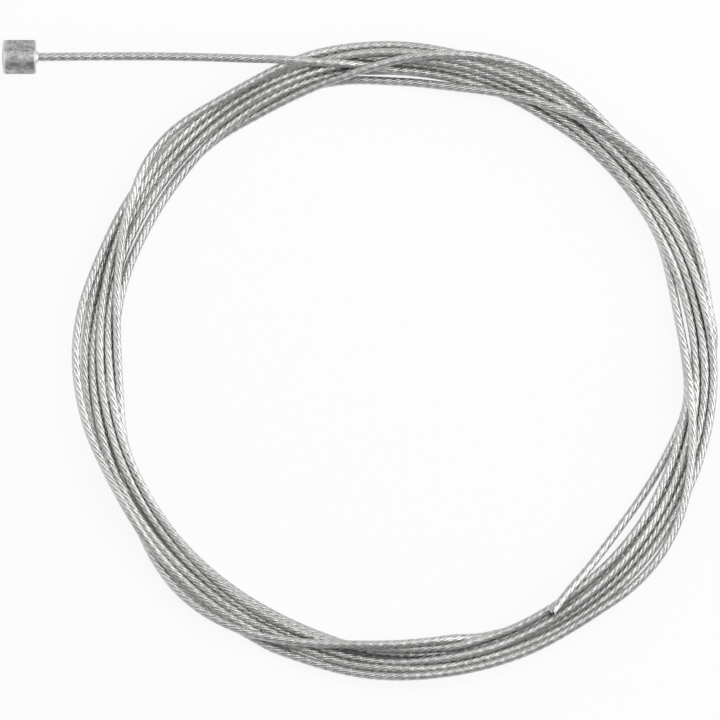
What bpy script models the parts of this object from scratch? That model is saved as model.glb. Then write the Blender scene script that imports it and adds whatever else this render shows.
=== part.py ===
"""Gear-shift inner cable, hand-wound into a ring: a cast barrel nipple, the straight lead and the coil.

Metres, +Z up. The cable lies flat on the XY plane, the nipple's lead points along +X, and the origin is
under the middle of the whole outline.
"""

import math

import bmesh
import bpy
from mathutils import Vector
from mathutils.geometry import interpolate_bezier

MM = 0.001

# Cable: fine steel wire in six strands laid round a seventh
CABLE_DIAMETER = 1.1 * MM

# Nipple: a barrel of zinc cast on the strand's end
NIPPLE_DIAMETER = 4.4 * MM
NIPPLE_LENGTH = 4.25 * MM
NIPPLE_CROWN = 0.14 * MM
NIPPLE_EDGE_RADIUS = 0.34 * MM
BOSS_BASE_DIAMETER = 1.7 * MM
BOSS_TIP_DIAMETER = 1.36 * MM
BOSS_HEIGHT = 0.28 * MM

# Coil: the outer shape of the hand-wound bundle
COIL_OUTER_DIAMETER = 83.2 * MM
COIL_BUNDLE_WIDTH = 5.5 * MM
COIL_BUNDLE_HEIGHT = 3.3 * MM
COIL_CORNER_RADIUS = 1.3 * MM

# Where the nipple lies beside the coil
NIPPLE_FACE_TO_COIL_CENTRE = 46.33 * MM
LEAD_INSET = 2.33 * MM
SEAT_GAP = 0.3 * MM

# The free lead: how far along from the boss, how far aside, and how far up from the nipple's axis
LEAD_ROUTE = [
    (0.0 * MM, 0.00 * MM, 0.00 * MM),
    (4.0 * MM, 0.04 * MM, 0.00 * MM),
    (8.0 * MM, 0.07 * MM, 0.01 * MM),
    (12.0 * MM, 0.08 * MM, 0.03 * MM),
    (16.0 * MM, 0.06 * MM, 0.06 * MM),
    (20.0 * MM, -0.01 * MM, 0.10 * MM),
    (24.0 * MM, -0.12 * MM, 0.15 * MM),
    (28.0 * MM, -0.24 * MM, 0.21 * MM),
    (32.0 * MM, -0.37 * MM, 0.28 * MM),
    (36.0 * MM, -0.54 * MM, 0.36 * MM),
]

RING_STEPS = 90
NIPPLE_STEPS = 60
ARC_STEPS = 6
LEAD_STEP = 2.5 * CABLE_DIAMETER

COIL_OUTER_RADIUS = COIL_OUTER_DIAMETER / 2
NIPPLE_RADIUS = NIPPLE_DIAMETER / 2
NIPPLE_REACH = NIPPLE_FACE_TO_COIL_CENTRE + NIPPLE_LENGTH + NIPPLE_CROWN
COIL_CENTRE_X = (NIPPLE_REACH - COIL_OUTER_RADIUS) / 2
NIPPLE_FACE_X = COIL_CENTRE_X - NIPPLE_FACE_TO_COIL_CENTRE
NIPPLE_AXIS_Y = COIL_OUTER_RADIUS - LEAD_INSET
LEAD_START_X = NIPPLE_FACE_X + BOSS_HEIGHT + SEAT_GAP


def clear_scene():
    for item in list(bpy.data.objects):
        bpy.data.objects.remove(item, do_unlink=True)


def make_collection(name):
    collection = bpy.data.collections.new(name)
    bpy.context.scene.collection.children.link(collection)
    return collection


def make_material(name, colour, roughness, metallic):
    material = bpy.data.materials.new(name)
    material.use_nodes = True
    shader = material.node_tree.nodes["Principled BSDF"]
    shader.inputs["Base Color"].default_value = (*colour, 1.0)
    shader.inputs["Roughness"].default_value = roughness
    shader.inputs["Metallic"].default_value = metallic
    return material


def arc_points(centre, radius, start_degrees, end_degrees, steps):
    """Points of a round corner in the (radius, height) plane of a turned profile."""
    points = []
    for step in range(steps + 1):
        angle = math.radians(start_degrees + (end_degrees - start_degrees) * step / steps)
        points.append((centre[0] + radius * math.cos(angle), centre[1] + radius * math.sin(angle)))
    return points


def turned_object(name, profile, closed, steps, collection):
    """A solid of revolution about local Z, from (radius, height) points that run down the outer side."""
    mesh = bpy.data.meshes.new(name)
    builder = bmesh.new()
    corners = [builder.verts.new((radius, 0.0, height)) for radius, height in profile]
    for first, second in zip(corners, corners[1:]):
        builder.edges.new((first, second))
    if closed:
        builder.edges.new((corners[-1], corners[0]))
    builder.to_mesh(mesh)
    builder.free()
    turned = bpy.data.objects.new(name, mesh)
    collection.objects.link(turned)
    screw = turned.modifiers.new("Turn", "SCREW")
    screw.axis = "Z"
    screw.steps = steps
    screw.render_steps = steps
    screw.use_merge_vertices = True
    screw.merge_threshold = 0.000001
    screw.use_smooth_shade = True
    return turned


def nipple_profile():
    """From the boss's tip down the barrel to the middle of the slightly domed far end."""
    edge = NIPPLE_EDGE_RADIUS
    inner = NIPPLE_RADIUS - edge
    profile = [(0.0, BOSS_HEIGHT), (BOSS_TIP_DIAMETER / 2, BOSS_HEIGHT), (BOSS_BASE_DIAMETER / 2, 0.0)]
    profile += arc_points((inner, -edge), edge, 90, 0, ARC_STEPS)
    profile += arc_points((inner, -NIPPLE_LENGTH + edge), edge, 0, -90, ARC_STEPS)
    for step in range(1, ARC_STEPS + 1):
        share = step / ARC_STEPS
        profile.append((inner * (1 - share), -NIPPLE_LENGTH - NIPPLE_CROWN * (1 - (1 - share) ** 2)))
    return profile


def build_nipple(collection, root, material):
    nipple = turned_object("nipple", nipple_profile(), False, NIPPLE_STEPS, collection)
    nipple.parent = root
    nipple.location = (NIPPLE_FACE_X, NIPPLE_AXIS_Y, NIPPLE_RADIUS)
    nipple.rotation_euler = (0.0, math.radians(90), 0.0)
    nipple.data.materials.append(material)
    return nipple


def coil_profile():
    """The bundle's cross-section: as wide and high as its stacked turns, with rounded corners."""
    corner = COIL_CORNER_RADIUS
    right = COIL_OUTER_RADIUS - corner
    left = COIL_OUTER_RADIUS - COIL_BUNDLE_WIDTH + corner
    top = COIL_BUNDLE_HEIGHT - corner
    profile = arc_points((right, top), corner, 90, 0, ARC_STEPS)
    profile += arc_points((right, corner), corner, 0, -90, ARC_STEPS)
    profile += arc_points((left, corner), corner, -90, -180, ARC_STEPS)
    profile += arc_points((left, top), corner, 180, 90, ARC_STEPS)
    return profile


def build_coil(collection, root, material):
    coil = turned_object("cable_coil", coil_profile(), True, RING_STEPS, collection)
    coil.parent = root
    coil.location = (COIL_CENTRE_X, 0.0, 0.0)
    coil.data.materials.append(material)
    return coil


def lead_end_x():
    """Where the lead's end face comes up to the coil's outer wall, a seat gap short of it."""
    inner_edge = NIPPLE_AXIS_Y + LEAD_ROUTE[-1][1] - CABLE_DIAMETER / 2
    return COIL_CENTRE_X - math.sqrt(COIL_OUTER_RADIUS ** 2 - inner_edge ** 2) - SEAT_GAP


def smooth_route(knots, spacing):
    """Evenly spread points on one smooth curve through the knots."""
    points = []
    for index in range(len(knots) - 1):
        before = knots[max(index - 1, 0)]
        start = knots[index]
        end = knots[index + 1]
        after = knots[min(index + 2, len(knots) - 1)]
        handle_out = start + (end - before) / 6
        handle_in = end - (after - start) / 6
        count = max(2, round((end - start).length / spacing) + 1)
        points += interpolate_bezier(start, handle_out, handle_in, end, count)[:-1]
    points.append(knots[-1])
    return points


def lead_points():
    """The lead's centre line, cut off square where it reaches the coil."""
    knots = []
    for along, aside, up in LEAD_ROUTE:
        knots.append(Vector((LEAD_START_X + along, NIPPLE_AXIS_Y + aside, NIPPLE_RADIUS + up)))
    points = smooth_route(knots, LEAD_STEP)
    end_x = lead_end_x()
    kept = [point for point in points if point.x < end_x - LEAD_STEP / 2]
    last = kept[-1]
    following = points[len(kept)]
    kept.append(last.lerp(following, (end_x - last.x) / (following.x - last.x)))
    return kept


def build_lead(collection, root, material):
    points = lead_points()
    curve = bpy.data.curves.new("cable_lead", "CURVE")
    curve.dimensions = "3D"
    curve.bevel_depth = CABLE_DIAMETER / 2
    curve.bevel_resolution = 2
    curve.use_fill_caps = True
    spline = curve.splines.new("POLY")
    spline.points.add(len(points) - 1)
    for target, point in zip(spline.points, points):
        target.co = (*point, 1.0)
    spline.use_smooth = True
    lead = bpy.data.objects.new("cable_lead", curve)
    collection.objects.link(lead)
    lead.parent = root
    curve.materials.append(material)
    return lead


def main():
    clear_scene()
    collection = make_collection("shift_cable")
    root = bpy.data.objects.new("shift_cable_root", None)
    collection.objects.link(root)
    zinc = make_material("cast_zinc", (0.42, 0.43, 0.44), 0.48, 1.0)
    steel = make_material("steel_strand", (0.60, 0.60, 0.58), 0.34, 1.0)
    build_nipple(collection, root, zinc)
    build_lead(collection, root, steel)
    build_coil(collection, root, steel)


main()
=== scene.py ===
import math

import bpy
import numpy as np
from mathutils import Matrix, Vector


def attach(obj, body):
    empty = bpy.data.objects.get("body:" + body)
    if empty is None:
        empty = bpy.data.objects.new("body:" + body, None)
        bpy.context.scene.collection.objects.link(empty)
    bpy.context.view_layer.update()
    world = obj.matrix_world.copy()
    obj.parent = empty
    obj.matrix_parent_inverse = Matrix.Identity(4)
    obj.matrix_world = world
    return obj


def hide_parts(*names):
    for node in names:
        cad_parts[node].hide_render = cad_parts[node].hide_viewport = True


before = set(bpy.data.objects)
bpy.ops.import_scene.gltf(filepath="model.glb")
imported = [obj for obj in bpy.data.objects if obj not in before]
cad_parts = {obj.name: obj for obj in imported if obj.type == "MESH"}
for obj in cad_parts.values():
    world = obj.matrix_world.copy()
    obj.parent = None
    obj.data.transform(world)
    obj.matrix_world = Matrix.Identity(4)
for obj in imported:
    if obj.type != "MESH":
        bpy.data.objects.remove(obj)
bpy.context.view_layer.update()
print("frame loaded:", ", ".join(sorted(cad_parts)))

# sizes in metres
cable = {
    "diameter": 0.0011,
    "strands": 6,                  # laid round a seventh, each a third of the cable across
    "spread": 1.5,                 # strands are pressed flatter than round where they touch
    "layLength": 0.0061,           # one full turn of a strand, left-handed
    "ringSpacing": 0.00046,        # length of cable between two rings of a strand's mesh
    "strandSides": 12,
    "cutShort": (0.0, 0.00008, 0.00022, 0.00005, 0.00016, 0.0003),     # the cut is uneven
    "coreCutShort": 0.0004,
    "coreRingSpacing": 0.0018,
    "coreSides": 8,
}
strandRadius = cable["diameter"] / 6

coil = {
    "centre": (0.00456, 0.0),
    "unit": 0.0001294,             # radii below are in this unit, 8.5 to a cable diameter
    "sampleSpacing": 0.0008,
    "joinDegrees": 10,             # the lead runs on into this much of the first turn
    "layerHeight": 0.0009,         # how far up one level lifts a turn before it settles
    "endLift": 0.0010,             # how far up the cut end springs, and over what length
    "endReach": 0.0032,
}

# how the turns settle on each other; lengths of cable are counted in samples
settling = {
    "steps": 420,
    "clearance": 1.004,            # two turns come to rest this many diameters apart
    "searchRange": 1.35,           # in diameters
    "searchEvery": 20,
    "sameTurn": 12,                # nearer along the cable isn't another turn
    "stackedRise": 0.35,           # from this difference in level on, one turn lies over the other
    "push": 0.55,
    "overPush": 1.6,
    "sink": 0.0000016,
    "pullBack": 0.02,              # towards the line given in the tables
    "evenAside": 0.30,
    "evenHeight": 0.35,
    "leadFixed": 26,               # the lead stays where the CAD has it, then the cable comes free
    "leadBlend": 14.0,
}

nipple = {
    "faceX": -0.04177,
    "axisY": 0.03927,
    "radius": 0.0022,
    "bossHeight": 0.00028,
    "seatGap": 0.0003,             # between the boss and the lead, in the CAD
    "castIn": 0.0006,              # how far the cable starts back from there, inside the boss
}


# the camera looks straight down, as in the photograph
def makeCamera():
    view = {"middle": (0.00016, 0.00006), "height": 0.6, "width": 0.09317}
    data = bpy.data.cameras.new("camera")
    data.type = "ORTHO"
    data.ortho_scale = view["width"]
    data.clip_start = 0.01
    data.clip_end = 5.0
    camera = bpy.data.objects.new("camera", data)
    bpy.context.scene.collection.objects.link(camera)
    camera.location = (*view["middle"], view["height"])
    bpy.context.scene.camera = camera


# the free lead, as in the CAD: along from the boss, aside, up from the nipple's axis, in millimetres
leadRoute = [(0, 0.0, 0.0), (4, 0.04, 0.0), (8, 0.07, 0.01), (12, 0.08, 0.03), (16, 0.06, 0.06),
             (20, -0.01, 0.10), (24, -0.12, 0.15), (28, -0.24, 0.21)]

# each turn of the coil, listed: (degrees clockwise from +Y, radius, level in the bundle)
turns = [
    [(0, 290.2, 2.2), (5, 289.4, 2.2), (10, 288.6, 2.2), (20, 287.6, 2.0), (27, 287.4, 1.4), (35, 287.8, 1.2),
     (45, 288.8, 1.2), (55, 290.4, 1.2), (62, 291.8, 1.2), (66, 291.6, 1.2), (70, 289.8, 1.2),
     (75, 287.8, 1.2), (82, 287.6, 1.4), (88, 290.8, 2.2), (95, 297.3, 3.2), (100, 303, 3.6),
     (110, 315.5, 3.6), (115, 322, 3.6), (120, 327, 3.4), (125, 329.9, 3.0), (130, 330, 2.6),
     (135, 327.8, 2.8), (140, 323.8, 3.0), (145, 321.6, 3.0), (155, 320.2, 3.0), (170, 317, 3.0),
     (185, 315.3, 3.0), (195, 312.4, 2.4), (205, 310.6, 1.6), (220, 309.3, 0.8), (230, 306.6, 0.4),
     (240, 305.4, 0.4), (250, 306, 0.6), (258, 307.6, 1.2), (266, 309.2, 1.6), (273, 309.2, 1.8),
     (280, 307.9, 1.8), (288, 306.6, 1.4), (295, 306, 1.0), (301, 305, 0.8), (310, 302.5, 0.4),
     (320, 296.8, 0.2), (330, 291.3, 0.2), (340, 287.3, 0.2), (350, 284, 0.4)],
    [(0, 279, 1.0), (5, 278.5, 1.4), (10, 279, 2.0), (15, 281.5, 2.8), (20, 286, 3.6), (30, 297, 4.0),
     (40, 309.3, 4.2), (50, 319.8, 3.6), (55, 323.4, 3.0), (60, 325.3, 2.6), (65, 325, 2.6), (70, 323.4, 2.6),
     (75, 320.7, 2.4), (80, 318.6, 1.8), (87, 317.4, 0.6), (100, 316, 0.0), (120, 313.5, 0.0),
     (140, 309, 0.0), (160, 303.5, 0.0), (170, 300.5, 0.0), (180, 297.2, 0.0), (190, 294.8, 0.0),
     (205, 294.3, 0.0), (218, 294.3, 0.0), (230, 295, 0.0), (240, 296.2, 0.0), (250, 296.3, 0.0),
     (260, 295, 0.0), (267, 292.5, 0.0), (275, 288.4, 0.0), (283, 284.2, 0.0), (292, 281.4, 0.0),
     (302, 281.2, 0.0), (310, 282.8, 0.0), (315, 283.8, 0.0), (322, 283.4, 0.4), (330, 281, 1.0),
     (337, 281.8, 1.6), (345, 285.7, 2.4), (350, 289, 3.0), (355, 294, 3.4)],
    [(0, 299.8, 3.6), (10, 311, 3.6), (20, 319.2, 3.4), (25, 321.8, 3.2), (30, 322.4, 3.0), (35, 321, 2.8),
     (40, 317.8, 2.2), (47, 314.2, 1.2), (55, 312.6, 0.4), (70, 311, 0.2), (90, 310, 0.0), (110, 308.5, 0.0),
     (130, 304.5, 0.2), (145, 299.5, 0.2), (155, 295.2, 0.3), (162, 291, 0.5), (167, 287.3, 1.2),
     (172, 284.2, 2.2), (178, 283.7, 3.0), (185, 285.4, 3.4), (190, 288.4, 3.6), (200, 298.7, 4.0),
     (210, 310.4, 3.8), (215, 314.2, 3.4), (220, 315.9, 3.0), (225, 315, 2.8), (230, 311.4, 2.0),
     (237, 304.2, 1.0), (245, 296.5, 0.8), (255, 288.5, 0.8), (265, 282.5, 0.8), (275, 280.4, 0.8),
     (285, 280.8, 1.2), (300, 280.2, 1.6), (310, 281.4, 1.6), (320, 285.2, 1.8), (330, 288.4, 1.8),
     (340, 291.8, 1.8), (350, 295.2, 1.4)],
    [(0, 297, 1.0), (10, 296, 1.0), (20, 294.8, 1.0), (30, 294.7, 1.1), (37, 295.5, 1.5), (45, 295, 1.8),
     (55, 293.3, 1.8), (62, 292.6, 1.8), (70, 294.8, 2.0), (80, 298.4, 2.0), (90, 301.8, 2.0),
     (100, 304.4, 1.8), (110, 305.5, 1.8), (130, 305.4, 2.0), (150, 304, 2.0), (170, 303.6, 2.0),
     (180, 302.5, 1.8), (190, 298.8, 1.6), (200, 294, 1.6), (210, 291, 1.8), (220, 288.9, 1.8),
     (232, 288.2, 2.0), (245, 289.2, 2.0), (260, 292, 2.0), (275, 295, 2.0), (285, 298.2, 2.0),
     (295, 302.3, 2.0), (305, 306.4, 2.0), (315, 308.6, 2.2), (325, 308.8, 2.0), (340, 308.6, 1.8)],
    [(0, 308.2, 1.8), (10, 307, 1.8), (20, 306.8, 2.0), (30, 307.4, 2.0), (37, 306.8, 1.8), (45, 303.6, 1.8),
     (50, 303.6, 2.0), (60, 307.8, 2.2), (70, 311.7, 2.2), (80, 315.3, 2.4), (87, 318.2, 2.4),
     (95, 320.1, 2.2), (105, 321.1, 2.0), (115, 321.1, 2.0), (125, 320.3, 2.2), (135, 319.2, 2.4),
     (145, 316.8, 2.4), (155, 313.8, 2.4), (165, 310.8, 2.2), (180, 307.9, 2.2), (190, 306, 2.0),
     (197, 302.4, 1.8), (205, 297.5, 1.8), (212, 296, 2.0), (225, 297.4, 2.0), (240, 300.3, 2.2),
     (255, 301, 2.0), (270, 301, 1.6), (285, 299.6, 1.2), (300, 299.4, 1.4), (320, 302.3, 1.8),
     (332, 304.4, 2.0), (340, 305.6, 1.8), (350, 304, 1.4)],
    [(0, 301.5, 1.4), (10, 301.8, 1.5), (20, 301, 1.5), (30, 299.8, 1.5), (40, 304.8, 1.6), (50, 312, 2.0),
     (57, 314.8, 2.0), (65, 317, 2.0), (72, 318, 1.6), (80, 316.4, 1.0), (90, 310.5, 0.8), (100, 304, 0.8),
     (110, 301, 0.8), (130, 301, 0.8), (150, 299, 0.6), (165, 298, 0.6), (175, 295.2, 0.6), (185, 291, 0.6),
     (195, 284.8, 0.6), (205, 281.2, 0.6), (215, 280.1, 0.6), (225, 280.3, 0.8), (240, 282, 1.0),
     (250, 283, 1.2), (257, 279.8, 1.6), (262, 276.8, 1.9), (267, 275.8, 2.1), (273, 277.2, 2.5),
     (280, 281.6, 3.0), (290, 292.5, 3.4), (300, 305.6, 3.6), (310, 317.6, 3.2), (315, 319, 3.0),
     (320, 316.8, 2.8), (325, 313.6, 2.8), (332, 312.6, 2.6), (340, 314.6, 2.2), (350, 315.6, 2.0)],
    [(0, 315.3, 2.0), (10, 313.2, 1.8), (20, 312.8, 2.0), (30, 315, 2.0), (37, 315.4, 1.6), (45, 312.4, 1.0),
     (55, 307.8, 0.8), (65, 304.3, 0.8), (80, 303.4, 0.8), (90, 300.6, 0.9), (100, 296.8, 1.4),
     (110, 296, 1.7), (125, 296, 1.7), (140, 294.2, 1.6), (148, 293.4, 1.4), (155, 293.4, 1.3),
     (165, 291.6, 1.3), (175, 289.2, 1.3), (187, 288, 1.4), (197, 288.6, 1.6), (205, 287, 2.0),
     (215, 283.8, 1.8), (230, 281.4, 2.0), (245, 282.8, 2.0), (260, 283.6, 2.0), (270, 285.1, 2.0),
     (280, 288.4, 1.8), (290, 290.6, 1.6), (300, 290.8, 1.8), (315, 292.9, 2.0), (330, 296.7, 2.0),
     (345, 300.4, 1.8)],
    [(0, 301.3, 0.4), (20, 299, 0.4), (40, 298, 0.6), (55, 298.7, 1.4), (65, 301.5, 1.8), (80, 307, 2.0),
     (90, 310.6, 2.0), (100, 313, 2.0), (110, 313.5, 1.8), (130, 313, 2.0), (145, 310.1, 1.8),
     (160, 306.7, 1.4), (180, 304.6, 1.2), (200, 303.3, 1.6), (207, 303.4, 2.2), (215, 304.2, 2.4),
     (225, 305.1, 2.6), (235, 305.4, 2.8), (240, 305.6, 2.8), (245, 306.4, 2.8), (250, 308.6, 2.8),
     (257, 313.3, 2.8), (265, 316.8, 2.8), (272, 318.2, 2.8), (280, 316.4, 2.6), (287, 312.6, 2.6),
     (295, 309.8, 2.4), (302, 309.4, 1.8), (312, 310.6, 1.2), (322, 309, 1.0), (332, 306.5, 0.8),
     (345, 297.5, 0.4), (355, 290.8, 0.2)],
    [(0, 289.4, 0.0), (10, 288.2, 0.0), (20, 288, 0.0), (45, 289, 0.0), (62, 292, 0.0), (67, 291.4, 0.0),
     (75, 287.9, 0.0), (82, 287.7, 0.0), (86, 289.3, 0.0), (90, 291.6, 0.1), (95, 295, 0.2), (98, 295.8, 0.3),
     (101, 295, 0.4), (105, 291.8, 0.6), (110, 288, 0.8), (114, 285.4, 0.8), (118, 283.3, 0.8),
     (122, 281.6, 0.8), (126, 280.9, 0.9), (130, 281.4, 1.0), (134, 282.9, 1.3), (138, 285.4, 2.0),
     (142, 288.6, 2.7), (145, 292.6, 3.1), (148.3, 298, 3.2)],
]

# the lead's way over the bundle and under the first crossing, in coil units: (x, y, level)
leadOver = [(-124, 301.4, 3.2), (-109, 300.7, 3.6), (-94, 299.7, 4.2), (-74, 298.2, 4.4), (-54, 296.9, 4.0),
            (-44, 296.2, 3.4), (-34, 295.3, 2.8), (-24, 294.2, 2.2), (-14, 293.0, 1.6)]


# the cable's route
def smoothThrough(knots, values, at):
    # cubic Hermite curve through unevenly spaced knots
    steps = np.diff(knots)
    slopes = np.diff(values, axis=0) / steps[:, None]
    weighted = slopes[:-1] * steps[1:, None] + slopes[1:] * steps[:-1, None]
    middle = weighted / (steps[:-1] + steps[1:])[:, None]
    tangents = np.vstack([slopes[:1], middle, slopes[-1:]])
    index = np.clip(np.searchsorted(knots, at, side="right") - 1, 0, len(knots) - 2)
    width = steps[index][:, None]
    t = ((at - knots[index]) / steps[index])[:, None]
    return ((2 * t**3 - 3 * t**2 + 1) * values[index] + (t**3 - 2 * t**2 + t) * width * tangents[index]
            + (3 * t**2 - 2 * t**3) * values[index + 1] + (t**3 - t**2) * width * tangents[index + 1])


def evenlySpaced(points, spacing):
    lengths = np.concatenate([[0], np.cumsum(np.linalg.norm(np.diff(points[:, :3], axis=0), axis=1))])
    count = int(round(lengths[-1] / spacing)) + 1
    at = np.linspace(0, lengths[-1], count)
    return np.stack([np.interp(at, lengths, points[:, axis]) for axis in range(points.shape[1])], axis=1)


def leadKnots():
    startX = nipple["faceX"] + nipple["bossHeight"] + nipple["seatGap"]
    axisY = nipple["axisY"]
    axisZ = nipple["radius"]
    level = 2.0
    knots = [(startX - nipple["castIn"], axisY, axisZ, level)]
    for along, aside, up in leadRoute:
        knots.append((startX + along * 0.001, axisY + aside * 0.001, axisZ + up * 0.001, level))
    return knots


def handRoute():
    # x, y, height and level of every sample, before the turns settle on each other
    unit = coil["unit"]
    degrees = []
    lanes = []
    for number, turn in enumerate(turns):
        for angle, radius, level in turn:
            degrees.append(360 * number + angle)
            lanes.append((radius, level))
    degrees = np.array(degrees, float)
    at = np.arange(degrees[0], degrees[-1], 1.0)
    wound = smoothThrough(degrees, np.array(lanes, float), np.append(at, degrees[-1]))
    angles = np.radians(np.append(at, degrees[-1]))
    x = coil["centre"][0] + wound[:, 0] * unit * np.sin(angles)
    y = coil["centre"][1] + wound[:, 0] * unit * np.cos(angles)
    height = cable["diameter"] / 2 + wound[:, 1] * coil["layerHeight"]
    wound = np.stack([x, y, height, wound[:, 1]], axis=1)
    knots = leadKnots()
    for acrossX, acrossY, level in leadOver:
        knots.append((coil["centre"][0] + acrossX * unit, coil["centre"][1] + acrossY * unit,
                      cable["diameter"] / 2 + level * coil["layerHeight"], level))
    knots += [tuple(row) for row in wound[:coil["joinDegrees"]:3]]
    knots = np.array(knots)
    along = np.concatenate([[0], np.cumsum(np.linalg.norm(np.diff(knots[:, :2], axis=0), axis=1))])
    lead = smoothThrough(along, knots, np.linspace(0, along[-1], 240))
    return evenlySpaced(np.vstack([lead, wound[coil["joinDegrees"]:]]), coil["sampleSpacing"])


def touchingPairs(points, diameter):
    # samples of different turns that are near each other, as two rows of numbers
    flat = points[:, :2]
    order = np.arange(len(points))
    reach = diameter * settling["searchRange"]
    apart = (flat[:, None, 0] - flat[None, :, 0]) ** 2 + (flat[:, None, 1] - flat[None, :, 1]) ** 2
    near = apart < reach ** 2
    near &= (order[None, :] - order[:, None]) > settling["sameTurn"]
    return np.nonzero(near)


def pushApart(points, levels, first, second, diameter):
    # how each near pair has to move: over each other up and down only, beside each other any way
    gap = points[second] - points[first]
    rise = levels[second] - levels[first]
    stacked = np.abs(rise) > settling["stackedRise"]
    flatGap = np.linalg.norm(gap[:, :2], axis=1)
    wanted = np.sqrt(np.clip(diameter**2 - flatGap**2, 0, None)) * np.sign(rise)
    lack = wanted - gap[:, 2]
    lack = np.where(rise > 0, np.clip(lack, 0, None), np.clip(lack, None, 0))
    push = np.zeros_like(gap)
    push[:, 2] = np.where(stacked, lack, 0)
    distance = np.linalg.norm(gap, axis=1)
    overlap = np.clip(diameter - distance, 0, None)
    apart = gap / np.maximum(distance, 1e-9)[:, None] * overlap[:, None]
    return push + np.where((~stacked)[:, None], apart, 0)


def settle(route):
    # turns that touch push each other a diameter apart, and every turn sinks as far as it can
    diameter = cable["diameter"] * settling["clearance"]
    points = route[:, :3].copy()
    anchors = route[:, :3].copy()
    levels = route[:, 3]
    count = len(points)
    free = np.clip((np.arange(count) - settling["leadFixed"]) / settling["leadBlend"], 0, 1)[:, None]
    first = second = None
    for step in range(settling["steps"]):
        if step % settling["searchEvery"] == 0:
            first, second = touchingPairs(points, diameter)
        push = pushApart(points, levels, first, second, diameter)
        move = np.zeros_like(points)
        active = (np.abs(push).max(axis=1) > 0).astype(float)
        for axis in range(3):
            away = np.bincount(second, push[:, axis], count)
            back = np.bincount(first, push[:, axis], count)
            move[:, axis] = away - back
        touching = np.bincount(second, active, count) + np.bincount(first, active, count)
        shared = free * settling["push"] * move / np.maximum(touching, 1)[:, None]
        points += shared * settling["overPush"]
        points[:, 2] -= free[:, 0] * settling["sink"]
        points[:, :2] += free * (anchors[:, :2] - points[:, :2]) * settling["pullBack"]
        shift = points - anchors
        shift[1:-1] += settling["evenAside"] * ((shift[:-2] + shift[2:]) / 2 - shift[1:-1])
        height = points[:, 2].copy()
        height[1:-1] += settling["evenHeight"] * ((points[:-2, 2] + points[2:, 2]) / 2 - points[1:-1, 2])
        points = np.column_stack([(anchors + shift)[:, :2], np.maximum(height, cable["diameter"] / 2)])
    toEnd = np.arange(count)[::-1] * coil["sampleSpacing"]
    points[:, 2] += coil["endLift"] * np.clip(1 - toEnd / coil["endReach"], 0, 1) ** 2
    worst = np.abs((points - anchors)[:, :2]).max() * 1000
    print(f"route settled: {count} samples, moved aside at most {worst:.2f} mm, "
          f"top {points[:, 2].max() * 1000:.2f} mm")
    return points


def makeRouteCurve(points):
    data = bpy.data.curves.new("cable_route", "CURVE")
    data.dimensions = "3D"
    spline = data.splines.new("POLY")
    spline.points.add(len(points) - 1)
    flat = np.column_stack([points, np.ones(len(points))]).astype(np.float32)
    spline.points.foreach_set("co", flat.ravel())
    route = bpy.data.objects.new("cable_route", data)
    bpy.context.scene.collection.objects.link(route)
    return route


# helpers for node trees
def addNode(tree, kind, inputs=None, **settings):
    node = tree.nodes.new(kind)
    for key, value in settings.items():
        setattr(node, key, value)
    for key, value in (inputs or {}).items():
        if isinstance(value, bpy.types.NodeSocket):
            tree.links.new(value, node.inputs[key])
        else:
            node.inputs[key].default_value = value
    return node


def calc(tree, operation, *values):
    return addNode(tree, "ShaderNodeMath", dict(enumerate(values)), operation=operation).outputs[0]


def scaled(tree, vector, factor):
    node = addNode(tree, "ShaderNodeVectorMath", {0: vector, "Scale": factor}, operation="SCALE")
    return node.outputs["Vector"]


def ranged(tree, value, lowIn, highIn, lowOut=0.0, highOut=1.0, curve="LINEAR"):
    given = {"Value": value, "From Min": lowIn, "From Max": highIn, "To Min": lowOut, "To Max": highOut}
    return addNode(tree, "ShaderNodeMapRange", given, interpolation_type=curve).outputs["Result"]


def noise(tree, place, scale, detail, roughness=0.5):
    given = {"Vector": place, "Scale": scale, "Detail": detail, "Roughness": roughness}
    return addNode(tree, "ShaderNodeTexNoise", given).outputs["Fac"]


def mix(tree, share, first, second):
    # between two colours, each a socket or three numbers
    given = {"Fac": share}
    for key, value in (("Color1", first), ("Color2", second)):
        given[key] = value if isinstance(value, bpy.types.NodeSocket) else (*value, 1)
    return addNode(tree, "ShaderNodeMixRGB", given).outputs["Color"]


def bump(tree, height, strength, depth, under=None):
    given = {"Height": height, "Strength": strength, "Distance": depth}
    if under:
        given["Normal"] = under
    return addNode(tree, "ShaderNodeBump", given).outputs["Normal"]


def newMaterial(name):
    material = bpy.data.materials.new(name)
    material.use_nodes = True
    return material, material.node_tree, material.node_tree.nodes["Principled BSDF"]


def objectPlace(tree):
    return addNode(tree, "ShaderNodeTexCoord").outputs["Object"]


# materials
steelLook = {
    "dark": (0.54, 0.545, 0.53),
    "light": (0.88, 0.885, 0.87),
    "grooveShade": (0.265, 0.267, 0.257),   # painted shade between two strands, where each hides the other's light
    "edge": (0.62, 0.62, 0.62),
    "rough": 0.27,
    "deep": 0.36,                      # how near to the next strand the painted shade is full, and where it ends
    "unshadedFrom": 0.60,
    "wires": 4,
    "wireLay": 0.00237,
    "wireRelief": 0.65,
    "wireDepth": 0.00003,
    "grimeScale": 1400.0,
    "patchScale": 160.0,
    "scratchScale": 6000.0,
    "scratchRelief": 0.12,
    "scratchDepth": 0.00001,
}


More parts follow.
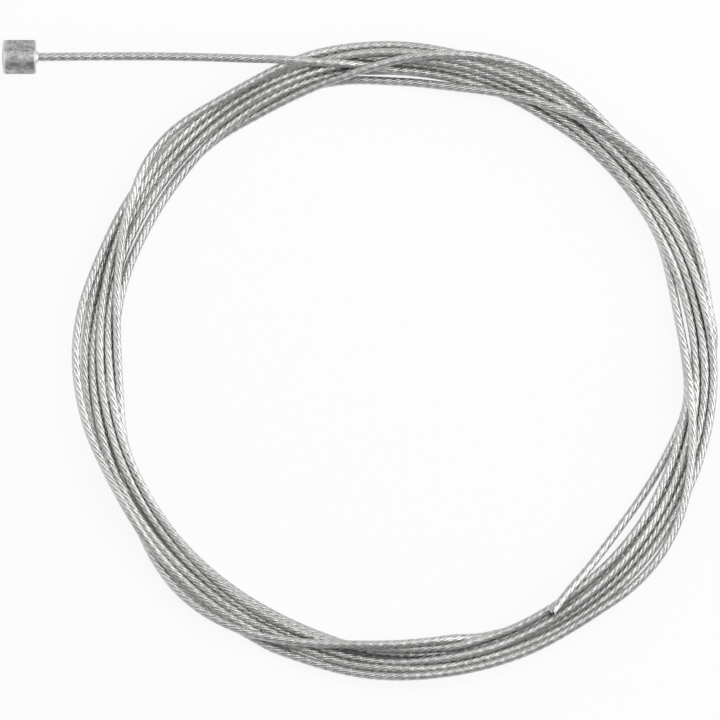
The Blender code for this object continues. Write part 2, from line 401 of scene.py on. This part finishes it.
def makeSteel(name, look):
    material, tree, shader = newMaterial(name)
    place = objectPlace(tree)
    grime = noise(tree, place, look["grimeScale"], 4.0, 0.65)
    broad = noise(tree, place, look["patchScale"], 3.0)
    tone = mix(tree, grime, look["dark"], look["light"])
    patched = scaled(tree, tone, ranged(tree, broad, 0.3, 0.7, 0.86, 1.0))
    facing = addNode(tree, "ShaderNodeAttribute", attribute_name="facing").outputs["Vector"]
    rim = addNode(tree, "ShaderNodeSeparateXYZ", {0: facing}).outputs
    # painted shade: each strand is darker towards its sides, where it meets its neighbours
    unshadedShare = ranged(tree, rim["X"], look["deep"], look["unshadedFrom"], curve="SMOOTHSTEP")
    steel = mix(tree, unshadedShare, look["grooveShade"], patched)
    rough = ranged(tree, grime, 0.0, 1.0, look["rough"] - 0.08, look["rough"] + 0.10)
    tree.links.new(steel, shader.inputs["Base Color"])
    tree.links.new(rough, shader.inputs["Roughness"])
    shader.inputs["Metallic"].default_value = 1.0
    shader.inputs["Specular Tint"].default_value = (*look["edge"], 1)
    # the wires within each strand, laid the other way, as a relief
    turn = calc(tree, "ARCTAN2", rim["Y"], rim["X"])
    along = addNode(tree, "ShaderNodeAttribute", attribute_name="along").outputs["Fac"]
    run = calc(tree, "MULTIPLY", along, -2 * math.pi / look["wireLay"])
    lobes = calc(tree, "MULTIPLY", calc(tree, "ADD", turn, run), look["wires"] / 2)
    wires = calc(tree, "ABSOLUTE", calc(tree, "COSINE", lobes))
    fine = bump(tree, wires, look["wireRelief"], look["wireDepth"])
    scratches = noise(tree, place, look["scratchScale"], 2.0)
    surface = bump(tree, scratches, look["scratchRelief"], look["scratchDepth"], fine)
    tree.links.new(surface, shader.inputs["Normal"])
    return material


# the cut ends: a dark colour that paints the shade on them, with a torn grain
cutEndShadeLook = {
    "colour": (0.10, 0.095, 0.095),
    "rough": 0.55,
    "grainScale": 9000.0,
    "relief": 0.6,
    "depth": 0.00003,
}


def makeCutEndShade(name, look):
    material, tree, shader = newMaterial(name)
    torn = noise(tree, objectPlace(tree), look["grainScale"], 3.0)
    colour = scaled(tree, look["colour"], ranged(tree, torn, 0.3, 0.7, 0.6, 1.6))
    tree.links.new(colour, shader.inputs["Base Color"])
    tree.links.new(bump(tree, torn, look["relief"], look["depth"]), shader.inputs["Normal"])
    shader.inputs["Roughness"].default_value = look["rough"]
    shader.inputs["Metallic"].default_value = 1.0
    return material


zincLook = {
    "dull": (0.28, 0.285, 0.295),
    "bright": (0.66, 0.665, 0.665),
    "scratch": (0.10, 0.10, 0.105),
    "endHighlight": (0.90, 0.90, 0.88),      # painted highlight: both ends and the boss painted bright as if lit
    "ends": (-0.04550, -0.0459, -0.0421, -0.0417),     # x where that starts and is full, at each end
    "endHighlightShare": 0.8,
    "rough": 0.40,
    "blotchScale": 1500.0,
    "grainScale": 7000.0,
    "streakScale": (1500.0, 2200.0, 2200.0),
    "nickScale": 0.45,                 # of the streaks' scale
    "edge": (0.5, 0.5, 0.5),
    "relief": 0.7,
    "depth": 0.00006,
}


def makeZinc(name, look):
    material, tree, shader = newMaterial(name)
    place = objectPlace(tree)
    blotches = noise(tree, place, look["blotchScale"], 5.0, 0.7)
    grain = noise(tree, place, look["grainScale"], 3.0)
    drawn = addNode(tree, "ShaderNodeMapping", {"Vector": place, "Scale": look["streakScale"]})
    drawnPlace = drawn.outputs["Vector"]
    mottled = calc(tree, "ADD", blotches, noise(tree, drawnPlace, 1.0, 6.0))
    tone = mix(tree, ranged(tree, mottled, 0.70, 1.24, curve="SMOOTHSTEP"), look["dull"], look["bright"])
    cells = addNode(tree, "ShaderNodeTexVoronoi", {"Vector": drawnPlace, "Scale": look["nickScale"]})
    nicks = ranged(tree, cells.outputs["Distance"], 0.04, 0.13, 0.55, 0.0)
    marked = mix(tree, nicks, tone, look["scratch"])
    # painted highlight: brighter towards both ends and on the boss
    across = addNode(tree, "ShaderNodeSeparateXYZ", {0: place}).outputs["X"]
    left, leftTip, right, rightTip = look["ends"]
    atEnd = calc(tree, "ADD", ranged(tree, across, left, leftTip), ranged(tree, across, right, rightTip))
    zinc = mix(tree, calc(tree, "MULTIPLY", atEnd, look["endHighlightShare"]), marked, look["endHighlight"])
    rough = ranged(tree, blotches, 0.0, 1.0, look["rough"] - 0.12, look["rough"] + 0.16)
    cast = bump(tree, calc(tree, "ADD", blotches, grain), look["relief"], look["depth"])
    tree.links.new(zinc, shader.inputs["Base Color"])
    tree.links.new(rough, shader.inputs["Roughness"])
    tree.links.new(cast, shader.inputs["Normal"])
    shader.inputs["Metallic"].default_value = 1.0
    shader.inputs["Specular Tint"].default_value = (*look["edge"], 1)
    return material


# strands by geometry nodes
def makeStrandTree():
    tree = bpy.data.node_groups.new("Laid strand", "GeometryNodeTree")
    face = tree.interface
    face.new_socket("Geometry", in_out="INPUT", socket_type="NodeSocketGeometry")
    for label, value in (("Phase", 0.0), ("Pitch Radius", 0.00037), ("Strand Radius", 0.00018),
                         ("Spread", 1.0), ("Cut Short", 0.0), ("Lay Length", 0.006), ("Ring Spacing", 0.001)):
        face.new_socket(label, in_out="INPUT", socket_type="NodeSocketFloat").default_value = value
    face.new_socket("Sides", in_out="INPUT", socket_type="NodeSocketInt").default_value = 12
    face.new_socket("Material", in_out="INPUT", socket_type="NodeSocketMaterial")
    face.new_socket("Geometry", in_out="OUTPUT", socket_type="NodeSocketGeometry")
    given = addNode(tree, "NodeGroupInput").outputs
    # the route, twisted a full turn for each lay
    resampled = addNode(tree, "GeometryNodeResampleCurve",
                        {"Curve": given["Geometry"], "Length": given["Ring Spacing"]}, mode="LENGTH")
    even = resampled.outputs["Curve"]
    along = addNode(tree, "GeometryNodeSplineParameter").outputs["Length"]
    turned = calc(tree, "MULTIPLY", calc(tree, "DIVIDE", along, given["Lay Length"]), -2 * math.pi)
    tilt = calc(tree, "ADD", turned, given["Phase"])
    tilted = addNode(tree, "GeometryNodeSetCurveTilt", {"Curve": even, "Tilt": tilt})
    measured = addNode(tree, "GeometryNodeStoreNamedAttribute",
                       {"Geometry": tilted.outputs["Curve"], "Name": "along", "Value": along},
                       data_type="FLOAT", domain="POINT")
    whole = addNode(tree, "GeometryNodeCurveLength", {"Curve": even}).outputs["Length"]
    cut = addNode(tree, "GeometryNodeTrimCurve", {"Curve": measured.outputs["Geometry"]}, mode="LENGTH")
    cut.inputs[4].default_value = 0.0                   # start, as a length
    tree.links.new(calc(tree, "SUBTRACT", whole, given["Cut Short"]), cut.inputs[5])      # end, as a length
    # one strand's outline, set off from the route; facing is 1 in x on its outermost line, 0 at its sides
    circle = addNode(tree, "GeometryNodeCurvePrimitiveCircle",
                     {"Resolution": given["Sides"], "Radius": given["Strand Radius"]})
    spot = addNode(tree, "GeometryNodeInputPosition").outputs[0]
    marked = addNode(tree, "GeometryNodeStoreNamedAttribute",
                     {"Geometry": circle.outputs["Curve"], "Name": "facing",
                      "Value": scaled(tree, spot, 1 / strandRadius)},
                     data_type="FLOAT_VECTOR", domain="POINT")
    aside = addNode(tree, "ShaderNodeCombineXYZ", {"X": given["Pitch Radius"]})
    pressed = addNode(tree, "ShaderNodeCombineXYZ", {"X": 1.0, "Y": given["Spread"], "Z": 1.0})
    placed = addNode(tree, "GeometryNodeTransform",
                     {"Geometry": marked.outputs["Geometry"], "Translation": aside.outputs[0],
                      "Scale": pressed.outputs[0]})
    swept = addNode(tree, "GeometryNodeCurveToMesh",
                    {"Curve": cut.outputs["Curve"], "Profile Curve": placed.outputs["Geometry"],
                     "Fill Caps": True})
    smooth = addNode(tree, "GeometryNodeSetShadeSmooth", {"Geometry": swept.outputs["Mesh"]})
    real = addNode(tree, "GeometryNodeRealizeInstances", {"Geometry": smooth.outputs["Geometry"]})
    done = addNode(tree, "GeometryNodeSetMaterial",
                   {"Geometry": real.outputs["Geometry"], "Material": given["Material"]})
    addNode(tree, "NodeGroupOutput", {"Geometry": done.outputs["Geometry"]})
    return tree


def socketNames(tree):
    return {item.name: item.identifier for item in tree.interface.items_tree if item.in_out == "INPUT"}


def makeStrand(name, route, tree, given, cutEndShade):
    holder = bpy.data.objects.new(name + "_maker", route.data)
    bpy.context.scene.collection.objects.link(holder)
    modifier = holder.modifiers.new("Laid strand", "NODES")
    modifier.node_group = tree
    names = socketNames(tree)
    for label, value in given.items():
        modifier[names[label]] = value
    seen = holder.evaluated_get(bpy.context.evaluated_depsgraph_get())
    mesh = bpy.data.meshes.new_from_object(seen)
    mesh.name = name
    bpy.data.objects.remove(holder)
    mesh.materials.append(cutEndShade)
    for face in mesh.polygons:
        if face.loop_total > 4:                     # the two flat ends, given the dark painted-shade material
            face.material_index = 1
            face.use_smooth = False
    strand = bpy.data.objects.new(name, mesh)
    bpy.context.scene.collection.objects.link(strand)
    return strand


def makeCable(route, tree):
    given = {"Phase": 0.0, "Pitch Radius": cable["diameter"] / 2 - strandRadius,
             "Strand Radius": strandRadius, "Spread": cable["spread"], "Lay Length": cable["layLength"],
             "Ring Spacing": cable["ringSpacing"] * 1.0,
             "Sides": cable["strandSides"],
             "Material": makeSteel("laid_steel_wire", steelLook)}
    cutEndShade = makeCutEndShade("cut_end_shade", cutEndShadeLook)
    outer = []
    for index in range(cable["strands"]):
        given["Phase"] = 2 * math.pi * index / cable["strands"]
        given["Cut Short"] = cable["cutShort"][index]
        outer.append(makeStrand(f"outer_strand_{index + 1}", route, tree, given, cutEndShade))
    given.update({"Phase": 0.0, "Pitch Radius": 0.0, "Spread": 1.0, "Cut Short": cable["coreCutShort"],
                  "Ring Spacing": cable["coreRingSpacing"], "Sides": cable["coreSides"]})
    core = makeStrand("core_strand", route, tree, given, cutEndShade)
    print(f"cable laid: {len(outer)} outer strands, {sum(len(s.data.polygons) for s in outer)} faces")
    return outer, core


# floor and light
stage = {
    "floorSize": 3.0,
    "floorDrop": 0.00002,
    "floorColour": (0.97, 0.97, 0.97),
    "floorRough": 0.9,
    "shadowShare": 0.12,                # how much of the cable's shadow the floor shows
    "worldStrength": 0.28,
    # name, place, wide, high, radiance
    "panels": (("left_panel", (-0.50, 0.02, 0.35), 0.70, 0.75, 0.70),
               ("right_panel", (0.50, 0.02, 0.35), 0.70, 0.75, 1.70),
               ("top_panel", (0.0, 0.17, 0.62), 0.50, 0.13, 3.0),
               ("far_panel", (0.0, 0.50, 0.30), 0.60, 0.45, 0.45)),
}


def makeFloor():
    bpy.ops.mesh.primitive_plane_add(size=stage["floorSize"], location=(0, 0, -stage["floorDrop"]))
    floor = bpy.context.object
    floor.name = "floor"
    material, tree, shader = newMaterial("floor_paper")
    shader.inputs["Base Color"].default_value = (*stage["floorColour"], 1)
    shader.inputs["Roughness"].default_value = stage["floorRough"]
    white = addNode(tree, "ShaderNodeEmission", {"Color": (1, 1, 1, 1), "Strength": 1.0})
    ray = addNode(tree, "ShaderNodeLightPath").outputs
    seen = calc(tree, "MAXIMUM", ray["Is Camera Ray"], ray["Is Glossy Ray"])
    share = calc(tree, "MULTIPLY", seen, 1 - stage["shadowShare"])
    both = addNode(tree, "ShaderNodeMixShader", {0: share, 1: shader.outputs[0], 2: white.outputs[0]})
    tree.links.new(both.outputs[0], tree.nodes["Material Output"].inputs["Surface"])
    floor.data.materials.append(material)
    return floor


def makeLamps():
    lamps = []
    for name, place, wide, high, radiance in stage["panels"]:
        data = bpy.data.lights.new(name, "AREA")
        data.shape = "RECTANGLE"
        data.size = wide
        data.size_y = high
        data.energy = radiance * wide * high * math.pi
        lamp = bpy.data.objects.new(name, data)
        bpy.context.scene.collection.objects.link(lamp)
        lamp.location = place
        lamp.rotation_euler = (Vector((0, 0, 0)) - Vector(place)).to_track_quat("-Z", "Y").to_euler()
        lamps.append(lamp)
    return lamps


def makeStage():
    world = bpy.data.worlds.new("soft_room")
    bpy.context.scene.world = world
    world.use_nodes = True
    world.node_tree.nodes["Background"].inputs["Color"].default_value = (1, 1, 1, 1)
    world.node_tree.nodes["Background"].inputs["Strength"].default_value = stage["worldStrength"]
    bpy.context.scene.view_settings.view_transform = "Standard"
    makeFloor()
    makeLamps()
    print("floor and lamps set")


makeCamera()
hand = handRoute()
settled = settle(hand)
routeCurve = makeRouteCurve(settled)
outerStrands, coreStrand = makeCable(routeCurve, makeStrandTree())
bpy.data.objects.remove(routeCurve)

for strand in outerStrands + [coreStrand]:
    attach(strand, "root")
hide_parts("cable_lead", "cable_coil")

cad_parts["nipple"].material_slots[0].material = makeZinc("cast_zinc_alloy", zincLook)
makeStage()
